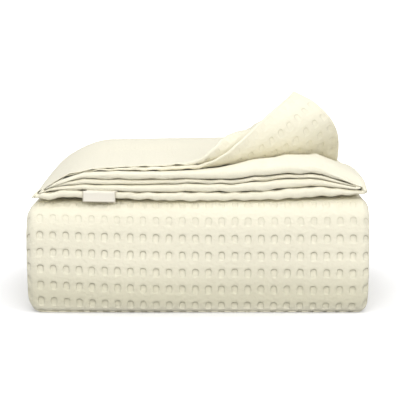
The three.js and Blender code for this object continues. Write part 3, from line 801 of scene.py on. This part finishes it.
def ribbon_material(size):
    """Woven ribbon: fine ribs across it, a firm edge and a few stitches at its ends."""
    material = bpy.data.materials.new("woven_ribbon")
    material.use_nodes = True
    n = Nodes(material.node_tree)
    weave = n.add("ShaderNodeUVMap", uv_map="Weave").outputs[0]
    threads = n.add("ShaderNodeGroup", {"Place": weave, "Thread": RIBBON["thread"],
                                         "Unevenness": RIBBON["unevenness"]},
                    node_tree=thread_group())
    place = n.add("ShaderNodeSeparateXYZ", {"Vector": weave})
    half = LABEL["width"] / 2 * MM
    edge = n.math("SUBTRACT", half, n.math("ABSOLUTE", place.outputs[0]))
    near = n.math("MINIMUM", edge, place.outputs[1])
    border = n.ramp(near, *RIBBON["border"])
    colour = n.blend(n.math("MULTIPLY", border, RIBBON["border_share"]),
                     (*size.ribbon_colour, 1), (*size.border_colour, 1))
    between = n.math("SUBTRACT", 1.0, threads.outputs["Tone"])
    colour = n.blend(n.math("MULTIPLY", between, RIBBON["threads"]), colour,
                     (*size.border_colour, 1))
    height = n.math("ADD", n.math("MULTIPLY", threads.outputs["Height"], RIBBON["relief"]),
                    n.math("MULTIPLY", border, RIBBON["border_relief"]))
    bump = n.add("ShaderNodeBump", {"Strength": 1.0, "Distance": 0.001, "Height": height})
    shader(material, n, 0.55, 0.1, Base_Color=colour, Normal=bump.outputs[0])
    return material


# ---- The label: a ribbon over the lowest leaf's front hem. ----

LABEL = {"middle": -114.0, "width": 38.0, "tail": 7.0, "drop": 12.4, "thick": 0.5, "gap": 0.45,
         "round": 2.6, "swing": 0.7, "wave": 0.25, "wave_across": 7}
LABEL_ACROSS, LABEL_ALONG = 26, 34
HEM_ROWS, OVER_ROWS = 19, 15  # rows of the hem that are followed, and those the ribbon lies on
ROUND_ROWS = 6


def make_label_mesh():
    """A ribbon that follows the puffed hem under it, from its tail over the hem and down."""
    across, steps = LABEL_ACROSS, LABEL_ALONG
    bm = bmesh.new()
    bmesh.ops.create_grid(bm, x_segments=across, y_segments=steps, size=1)
    xs = LABEL["middle"] + LABEL["width"] * (np.arange(across + 1) / across - 0.5)
    flat = xs - UPPER_SHIFT
    s = MARKS["leaf0"] + flat - LEFT_BEND
    inner = np.array([distance_round(v, 1) for v in s])
    profile = []
    for back in np.linspace(LABEL["tail"], 0, HEM_ROWS):
        profile.append(placed(inner, np.full(len(inner), TOTAL_RUN - back)) / MM)
    middle = xs - xs.mean()
    for i, place in enumerate(profile):
        for axis, side in ((1, -1), (2, 1)):
            slope, level = np.polyfit(middle, place[:, axis], 1)
            line = slope * middle + level
            place[:, axis] = line + side * max(0, (side * (place[:, axis] - line)).max())
    front = profile[-1]
    top = profile[OVER_ROWS - 1]
    rows = []
    for place in profile[:OVER_ROWS]:
        rows.append(place + (0, 0, LABEL["gap"]))
    lip = np.stack((xs + ORIGIN[0], front[:, 1] - LABEL["gap"], top[:, 2]), 1)
    for turn in np.linspace(10, 90, ROUND_ROWS):
        c, r = math.radians(turn), top[:, 1] - lip[:, 1]
        rows.append(np.stack((lip[:, 0], top[:, 1] - r * math.sin(c),
                              top[:, 2] + LABEL["gap"] - LABEL["round"] * (1 - math.cos(c))), 1))
    hang = steps + 1 - len(rows)
    for i in range(hang):
        t = (i + 1) / hang
        down = (LABEL["drop"] - LABEL["round"]) * t
        wave = LABEL["wave"] * np.sin(flat / LABEL["wave_across"]) * t
        rows.append(np.stack((lip[:, 0], lip[:, 1] - LABEL["swing"] * t * t - wave,
                              top[:, 2] + LABEL["gap"] - LABEL["round"] - down), 1))
    rows = np.array(rows)
    length = np.concatenate(([0], np.cumsum(np.linalg.norm(np.diff(rows[:, 0], axis=0), axis=1))))
    uv = bm.loops.layers.uv.new("Weave")
    bm.verts.ensure_lookup_table()
    where = {}
    for v in bm.verts:
        i = round((v.co.x + 1) / 2 * across)
        j = round((v.co.y + 1) / 2 * steps)
        where[v.index] = ((xs[i] - LABEL["middle"]) * MM, (length[-1] - length[j]) * MM)
        v.co = Vector(rows[j][i]) * MM
    for face in bm.faces:
        face.smooth = True
        for loop in face.loops:
            loop[uv].uv = where[loop.vert.index]
    bmesh.ops.recalc_face_normals(bm, faces=bm.faces)
    bmesh.ops.solidify(bm, geom=bm.faces[:], thickness=-LABEL["thick"] * MM)
    bmesh.ops.recalc_face_normals(bm, faces=bm.faces)
    mesh = bpy.data.meshes.new("ribbon_label")
    bm.to_mesh(mesh)
    bm.free()
    return mesh


# ---- The add-on's sizes, operators and panel. ----

def length_of(name, description, default):
    return bpy.props.FloatProperty(name=name, description=description, default=default, min=0,
                                   unit="LENGTH", precision=4)


def colour_of(name, description, default):
    return bpy.props.FloatVectorProperty(name=name, description=description, default=default,
                                         subtype="COLOR", size=3, min=0, max=1)


def share_of(name, description, default):
    return bpy.props.FloatProperty(name=name, description=description, default=default, min=0,
                                   max=1, subtype="FACTOR")


class BlanketSizes(bpy.types.PropertyGroup):
    """Sizes and colours of the waffle cloth and its ribbon."""
    cell_width: length_of("Cell width", "Distance between columns of pits", 0.01517)
    cell_height: length_of("Cell height", "Distance between rows of pits", 0.021)
    pit_width: length_of("Pit width", "Width of one pit", 0.0069)
    pit_height: length_of("Pit height", "Height of one pit", 0.0098)
    pit_depth: bpy.props.FloatProperty(name="Pit depth", description="Depth of a pit in mm",
                                       default=1.2, min=0)
    cloth_colour: colour_of("Cloth", "The cotton's own colour", (0.88, 0.84, 0.68))
    warm_colour: colour_of("Warm tone", "Where the cotton is a little warmer", (0.86, 0.82, 0.65))
    # Painted shade: the colour that the cloth turns toward near the floor.
    low_shade_colour: colour_of("Painted low shade", "Toward the floor", (0.62, 0.59, 0.42))
    # Painted shade: the colour that the pits' edges and floors turn toward, by edge_shade and
    # pit_shade; it also darkens the gaps between threads and the hem stitches.
    shade_and_thread_colour: colour_of("Painted pit shade and thread tone", "Between the threads and in the pits", (0.56, 0.52, 0.37))
    edge_shade: share_of("Edge shade", "How dark the edge over a pit is", 0.75)
    pit_shade: share_of("Pit shade", "How dark a pit's floor is", 0.07)
    ribbon_colour: colour_of("Ribbon", "The label's colour", (0.86, 0.82, 0.715))
    border_colour: colour_of("Ribbon border", "The label's woven edge", (0.55, 0.5, 0.4))


class StudioSizes(bpy.types.PropertyGroup):
    """The studio's floor and light."""
    floor_colour: colour_of("Floor", "The studio floor's colour", (0.93, 0.93, 0.94))
    light: bpy.props.FloatProperty(name="Light", description="Strength of all lamps", default=1.0,
                                   min=0)


def finished(name, mesh, material, slot_name, *nodes):
    """A piece at the origin with its material, riding on the body and standing for its node."""
    piece = bpy.data.objects.new(name, mesh)
    bpy.context.scene.collection.objects.link(piece)
    mesh.materials.clear()
    mesh.materials.append(material)
    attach(piece, "root")
    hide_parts(*nodes)
    return piece


class BLANKET_OT_label(bpy.types.Operator):
    """Make the ribbon label over the lowest hem"""
    bl_idname = "blanket.label"
    bl_label = "Ribbon label"

    def execute(self, context):
        sizes = context.scene.blanket_sizes
        finished("ribbon_label", make_label_mesh(), ribbon_material(sizes), "ribbon", "label")
        return {"FINISHED"}


class BLANKET_OT_cloth(bpy.types.Operator):
    """Make the folded waffle cloth"""
    bl_idname = "blanket.cloth"
    bl_label = "Folded waffle cloth"

    def execute(self, context):
        sizes = context.scene.blanket_sizes
        cloth = finished("waffle_cloth", make_cloth_mesh(sizes), cotton_material(sizes), "cloth",
                         "blanket")
        return {"FINISHED"}


LAMPS = (  # name, place, size, watts
    ("overhead_lamp", (0.0, -0.2, 2.2), (2.4, 2.0), 15.0),
    ("left_lamp", (-1.7, -1.5, 1.3), (1.1, 1.1), 10.0),
    ("right_lamp", (1.7, -1.5, 1.3), (1.1, 1.1), 14.0),
    ("front_lamp", (0.0, -2.2, 1.5), (1.6, 1.0), 22.0),
)
LAMP_AIM = (0, 0, 0.1)
SKY = 0.54
FLOOR_REACH = 120  # far enough that the camera never sees past the floor
FLOOR_GRAIN = 0.02
FLOOR_GLOW = 0.8
FLOOR_GLOW_FROM = (0.14, 0.55)  # the floor turns from shaded to plain between these
FLOOR_BOUNCE = 0.42
CAMERA = {"place": (0.00246, -1.7106, 0.375), "down": 8.72, "lens": 123.56, "sensor": 36}


def soft_lamp(name, place, size, watts):
    """A square lamp that looks at the middle of the blanket."""
    data = bpy.data.lights.new(name, "AREA")
    data.shape = "RECTANGLE"
    data.size, data.size_y = size
    data.energy = watts
    lamp = bpy.data.objects.new(name, data)
    bpy.context.scene.collection.objects.link(lamp)
    lamp.location = place
    aim = Vector(LAMP_AIM) - Vector(place)
    lamp.rotation_euler = aim.to_track_quat("-Z", "Y").to_euler()
    lamp.visible_camera = False
    return lamp


class BLANKET_OT_studio(bpy.types.Operator):
    """Make the pale floor, the soft lamps and the camera"""
    bl_idname = "blanket.studio"
    bl_label = "Studio"

    def execute(self, context):
        scene = context.scene
        studio = scene.studio_sizes
        bm = bmesh.new()
        bmesh.ops.create_grid(bm, x_segments=4, y_segments=4, size=FLOOR_REACH)
        mesh = bpy.data.meshes.new("studio_floor")
        bm.to_mesh(mesh)
        bm.free()
        floor = bpy.data.objects.new("studio_floor", mesh)
        scene.collection.objects.link(floor)
        material = bpy.data.materials.new("pale_floor")
        material.use_nodes = True
        n = Nodes(material.node_tree)
        grain = n.add("ShaderNodeTexNoise",
                      {"Vector": n.add("ShaderNodeTexCoord").outputs["Object"], "Scale": 3.0})
        tone = n.blend(n.math("MULTIPLY", grain.outputs["Fac"], FLOOR_GRAIN),
                       (*studio.floor_colour, 1), (0.9, 0.9, 0.9, 1))
        spread = n.add("ShaderNodeVectorMath", {0: n.add("ShaderNodeTexCoord").outputs["Object"]},
                       operation="LENGTH").outputs["Value"]
        seen = n.add("ShaderNodeLightPath").outputs["Is Camera Ray"]
        tone = n.blend(seen, (FLOOR_BOUNCE, FLOOR_BOUNCE, FLOOR_BOUNCE, 1), tone)
        glow = n.math("MULTIPLY", n.ramp(spread, *FLOOR_GLOW_FROM), seen)
        glow = n.blend(glow, (0, 0, 0, 1), (1, 1, 1, 1))
        shader(material, n, 0.8, 0.0, Base_Color=tone, Emission_Color=glow,
               Emission_Strength=FLOOR_GLOW)
        mesh.materials.append(material)
        for name, place, size, watts in LAMPS:
            soft_lamp(name, place, size, watts * studio.light)
        world = bpy.data.worlds.new("studio_air")
        world.use_nodes = True
        world.node_tree.nodes["Background"].inputs[0].default_value = (1, 1, 1, 1)
        world.node_tree.nodes["Background"].inputs[1].default_value = SKY
        scene.world = world
        scene.view_settings.view_transform = "Standard"
        data = bpy.data.cameras.new("camera")
        data.lens = CAMERA["lens"]
        data.sensor_width = CAMERA["sensor"]
        camera = bpy.data.objects.new("camera", data)
        scene.collection.objects.link(camera)
        camera.location = CAMERA["place"]
        camera.rotation_euler = (math.radians(90 - CAMERA["down"]), 0, 0)
        scene.camera = camera
        return {"FINISHED"}


class BLANKET_PT_panel(bpy.types.Panel):
    """The blanket's sizes and its makers"""
    bl_label = "Folded waffle blanket"
    bl_idname = "BLANKET_PT_panel"
    bl_space_type = "VIEW_3D"
    bl_region_type = "UI"
    bl_category = "Blanket"

    def draw(self, context):
        for group in (context.scene.blanket_sizes, context.scene.studio_sizes):
            box = self.layout.box()
            for name in group.__annotations__:
                box.prop(group, name)
        for operator in OPERATORS:
            self.layout.operator(operator.bl_idname)


OPERATORS = (BLANKET_OT_label, BLANKET_OT_cloth, BLANKET_OT_studio)
CLASSES = (BlanketSizes, StudioSizes, *OPERATORS, BLANKET_PT_panel)


def register():
    for cls in CLASSES:
        bpy.utils.register_class(cls)
    bpy.types.Scene.blanket_sizes = bpy.props.PointerProperty(type=BlanketSizes)
    bpy.types.Scene.studio_sizes = bpy.props.PointerProperty(type=StudioSizes)


def unregister():
    del bpy.types.Scene.blanket_sizes
    del bpy.types.Scene.studio_sizes
    for cls in reversed(CLASSES):
        bpy.utils.unregister_class(cls)


def main():
    register()
    bpy.ops.blanket.studio()
    bpy.ops.blanket.label()
    bpy.ops.blanket.cloth()


if __name__ == "__main__":
    main()
